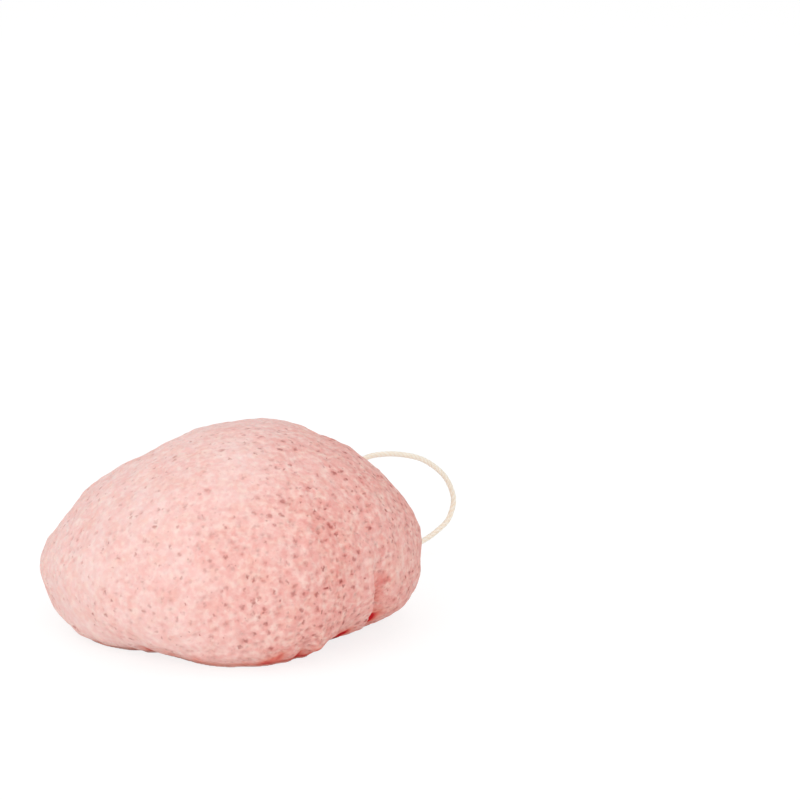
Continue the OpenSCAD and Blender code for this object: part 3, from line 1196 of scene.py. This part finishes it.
@dataclass
class FoamBody:
    """The foam half-ball, with its needle hole, the knot's hollow, its curds and its open pores."""

    needle: Needle
    finish: Material
    shape: FoamShape = field(default_factory=FoamShape)
    hole_r: float = 1.5
    hollow_r: float = 2.9
    hollow_top: float = 2.2
    dimple_r: float = 3.2
    dimple_depth: float = 2.4
    drill_sides: int = 64
    # How far round the hollow and the hole the skin stays plain
    plain_margin: float = 0.3
    # The flat face is where normals point down by more than this
    facing_down: float = 0.8
    voxel: float = 0.455
    swell_size: float = 5.5
    swell_height: float = 0.4
    curd_size: float = 2.2
    # The curds' height where the foam is pale, and what a flush adds to it
    curd_height: float = 0.16
    flushed_curd_height: float = 0.12
    # The heights at which the relief starts above the flat face and is full
    relief_start: Pair = (0.2, 2.0)
    pit_count: int = 1650
    pit_r: Pair = (0.35, 0.7)
    pit_depth_share: float = 0.6
    # How far a pore reaches, in radii, and how quickly it gets shallow
    pit_reach: float = 1.6
    pit_falloff: float = 2.2
    lowest_pit: float = 1.5
    # The faintest pore that dents the flat face, the most that a pore is stretched, how likely one is
    # where nothing adds to it, and how fast the painted shade of the pores and the fold fades at their
    # edges
    faintest_pit: float = 0.02
    pit_stretch: float = 0.5
    pit_ground: float = 0.2
    tint_power: float = 1.5
    # Azimuth and spread in degrees of the low front, where more pores open, and its heights
    pit_front: Pair = (292, 35)
    pit_heights: Pair = (14, 3)
    # Heights between which the pores on the crown get fewer
    pit_crown: Pair = (50, 26)
    # Where the foam turns pinker along X, and where its crown turns paler along X and Z
    pink_across: Pair = (-26, 30)
    crown_across: Pair = (24, 4)
    crown_heights: Pair = (26, 41)
    # How flushed the foam is on its left, what its right adds, and how much of that and of the whole
    # the crown takes away
    pink_ground: float = 0.05
    pink_share: float = 0.65
    crown_fade: Pair = (0.4, 0.12)
    drift_size: float = 11.0
    drift_share: float = 0.25
    # Azimuth and spread in degrees of the part of the lowest edge with most painted glow and painted shade,
    # and its heights
    glow_front: Pair = (322, 28)
    glow_heights: Pair = (2.2, 0.4)
    # How strongly the painted glow and shade cover the edge everywhere and what that part adds, and how far
    # down the skin faces where they start and where they are full
    edge_glow: Pair = (0.3, 0.5)
    glow_facing: Pair = (0.1, 0.5)
    base_glow: float = 0.05
    most_glow: float = 0.95

    def build(self) -> Object:
        """Makes the foam's mesh.

        Returns:
            The foam's piece, with its material's marks.
        """
        points, faces = self.shape.surface()
        rough = mesh_object("konjac_foam_rough", points * MM, faces)
        drill = self.drill()
        cut = rough.modifiers.new("needle_hole", "BOOLEAN")
        cut.object = drill
        cut.operation = "DIFFERENCE"
        cut.solver = "EXACT"
        remesh = rough.modifiers.new("even_mesh", "REMESH")
        remesh.mode = "VOXEL"
        remesh.voxel_size = self.voxel * MM
        bpy.context.view_layer.update()
        evened = rough.evaluated_get(bpy.context.evaluated_depsgraph_get())
        mesh = bpy.data.meshes.new_from_object(evened)
        bpy.data.objects.remove(rough)
        bpy.data.objects.remove(drill)
        mesh.name = "konjac_foam_body"
        mesh.shade_smooth()
        piece = bpy.data.objects.new("konjac_foam_body", mesh)
        bpy.context.scene.collection.objects.link(piece)
        self.sculpt(piece)
        return piece

    def drill(self) -> Object:
        """Makes the solid that cuts the knot's hollow, the needle hole and its flared mouth.

        Returns:
            The cutting solid.
        """
        length, sides = self.needle.length, self.drill_sides
        # Height along the hole and radius
        profile = [
            (-12, self.hollow_r), (self.hollow_top - 1, self.hollow_r), (self.hollow_top - 0.3, 2.6),
            (self.hollow_top, 2), (self.hollow_top + 0.3, self.hole_r),
            (length - self.dimple_depth, self.hole_r), (length - 1.5, 1.65), (length - 0.7, 2.1),
            (length, 2.6), (length + 1, self.dimple_r), (length + 4, self.dimple_r + 2),
        ]  # fmt: skip
        points = [self.needle.point(*ring, 360 * k / sides) for ring in profile for k in range(sides)]
        points += [self.needle.point(profile[end][0]) for end in (0, -1)]
        return mesh_object("needle_drill", np.array(points) * MM, capped_rings(len(profile), sides))

    def sculpt(self, piece: Object) -> None:
        """Raises the foam's curds, opens its larger pores, and marks where it is flushed and where shade
        and glow are painted.

        Args:
            piece: The foam's piece, which is changed.
        """
        mesh = piece.data
        count = len(mesh.vertices)
        points, normals = np.empty(count * 3), np.empty(count * 3)
        mesh.vertices.foreach_get("co", points)
        mesh.vertices.foreach_get("normal", normals)
        points, normals = points.reshape(-1, 3) / MM, normals.reshape(-1, 3)
        base = (points[:, 2] < self.voxel) & (normals[:, 2] < -self.facing_down)
        along = (points - self.needle.knot) @ self.needle.along
        from_line = np.linalg.norm(points - self.needle.knot - along[:, None] * self.needle.along, axis=1)
        in_hole = from_line < self.hollow_r + self.plain_margin
        free = np.where(base | in_hole, 0.0, 1.0) * ease(points[:, 2], *self.relief_start)
        flush = self.flush(points)
        dents = self.shape.spots(self.shape.azimuth_of(points), points[:, 2], self.shape.dent_shares)
        curd_height = self.curd_height + self.flushed_curd_height * flush
        rise = free * (
            self.shape.lump_height * dents
            + self.swell_height * random_lumps(points, self.swell_size)
            + curd_height * random_lumps(points, self.curd_size, 40)
        )
        inner = np.hypot(points[:, 0], points[:, 1]) < self.shape.width / 4
        open_skin = ~in_hole & np.where(base, inner, points[:, 2] > self.lowest_pit)
        pits = self.pits(points, normals, flush, open_skin)
        moved = points + normals * (rise - pits * self.pit_r[1] * self.pit_depth_share)[:, None]
        # The flat face stays flat outside its pores
        moved[:, 2] = np.maximum(np.where(base & (pits <= self.faintest_pit), 0, moved[:, 2]), 0)
        mesh.vertices.foreach_set("co", (moved * MM).ravel())
        mesh.update()
        set_mark(piece, Mark.PIT, pits**self.tint_power)
        set_mark(piece, Mark.FLUSH, flush)
        # Painted shade and painted glow on the underside, faint on the flat face
        set_mark(piece, Mark.UNDERSIDE, np.where(base, self.base_glow, self.glow(points, normals)))
        LOG.info("foam: %d points, box %s to %s", count, moved.min(0), moved.max(0))

    def flush(self, points: np.ndarray) -> np.ndarray:
        """Works out where the foam is a deeper pink: on its right, and in its fold and beside it, where it
        is painted shade.

        Args:
            points: The foam's points.

        Returns:
            How flushed each point is, from 0 to 1, and to 2 with the painted shade in the fold.
        """
        azimuth, high = self.shape.azimuth_of(points), points[:, 2]
        right = ease(points[:, 0], *self.pink_across)
        crown = ease(high, *self.crown_heights) * ease(points[:, 0], *self.crown_across)
        drift = random_lumps(points, self.drift_size, 90)
        fold = np.maximum(self.shape.fold(azimuth, high), 0) / self.shape.fold_depth
        within, whole = self.crown_fade
        pinker = self.pink_share * right * (1 - within * crown) - whole * crown
        pink = np.clip(self.pink_ground + pinker + self.drift_share * drift, 0, 1)
        fold_shade_spot = self.shape.spots(azimuth, high, self.shape.fold_shade_spot_shares)
        # The fold and the spot beside it add painted shade
        return pink + fold**self.tint_power + fold_shade_spot

    def glow(self, points: np.ndarray, normals: np.ndarray) -> np.ndarray:
        """Works out where painted shade and painted glow turn the foam red: its lowest edge and the notches
        there.

        Args:
            points: The foam's points.
            normals: Its normals.

        Returns:
            How strongly each point is painted red with shade and glow, from 0 to 1.
        """
        azimuth, high = self.shape.azimuth_of(points), points[:, 2]
        ground, added = self.edge_glow
        strength = ground + added * self.shape.bump(azimuth, *self.glow_front)
        edge = ease(high, *self.glow_heights) * ease(-normals[:, 2], *self.glow_facing) * strength
        return np.clip(edge + self.shape.spots(azimuth, high, self.shape.glow_shares), 0, self.most_glow)

    def pits(
        self, points: np.ndarray, normals: np.ndarray, flush: np.ndarray, allowed: np.ndarray
    ) -> np.ndarray:
        """Opens the larger pores at random, more of them low in front and where the foam is flushed.

        Args:
            points: The foam's points.
            normals: Its normals.
            flush: How flushed each point is.
            allowed: Where a pore may open.

        Returns:
            How far inside a pore each point is, from 0 to 1.
        """
        rng = np.random.default_rng(SEED)
        front = self.shape.bump(self.shape.azimuth_of(points), *self.pit_front)
        low_front = front * ease(points[:, 2], *self.pit_heights)
        chance = self.pit_ground + flush + low_front
        weights = allowed * chance * ease(points[:, 2], *self.pit_crown)
        middles = rng.choice(len(points), self.pit_count, replace=False, p=weights / weights.sum())
        tree = kdtree.KDTree(len(points))
        for i, point in enumerate(points):
            tree.insert(point, i)
        tree.balance()
        depth = np.zeros(len(points))
        low, high = self.pit_r
        for i in middles:
            radius = low + (high - low) * rng.uniform(0, 1) ** 2
            stretch = rng.uniform(0, self.pit_stretch)
            lie = unit(np.cross(normals[i], rng.normal(size=3)))
            for point, j, _ in tree.find_range(points[i], radius * self.pit_reach):
                away = np.array(point) - points[i]
                share = np.linalg.norm(away - away @ lie * lie * stretch) / radius
                depth[j] = max(depth[j], math.exp(-self.pit_falloff * share * share) * radius / high)
        return depth

    def dress(self, piece: Object) -> None:
        """Gives the foam its finish.

        Args:
            piece: The foam's piece.
        """
        piece.data.materials.append(self.finish)
        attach(piece, Body.SPONGE.value)
        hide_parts(Node.FOAM.value)


def main() -> None:
    """Builds the camera, the cord, the foam and the studio, and logs the foam's box."""
    logging.basicConfig(level=logging.INFO, format="%(name)s: %(message)s")
    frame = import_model()
    studio = Studio()
    studio.place_camera()
    needle = Needle.from_frame(frame)
    cotton = TwistedCottonCord().build()
    cord = CottonCord(needle)
    loop = HangingLoop(cord, cotton)
    loop_piece = loop.build()
    loop.dress(loop_piece)
    LOG.info("%s: %.1f mm of cord", loop_piece.name, cord.cuts[1] - cord.cuts[0])
    string = KnottedString(cord, cotton)
    for piece, node in string.build():
        string.dress(piece, node)
        LOG.info("%s stands for %s", piece.name, node.value)
    foam = FoamBody(needle, MoistKonjacFoam().build())
    foam_piece = foam.build()
    foam.dress(foam_piece)
    studio.lay_floor()
    studio.hang_lamps()
    studio.light_room()


if __name__ == "__main__":
    main()
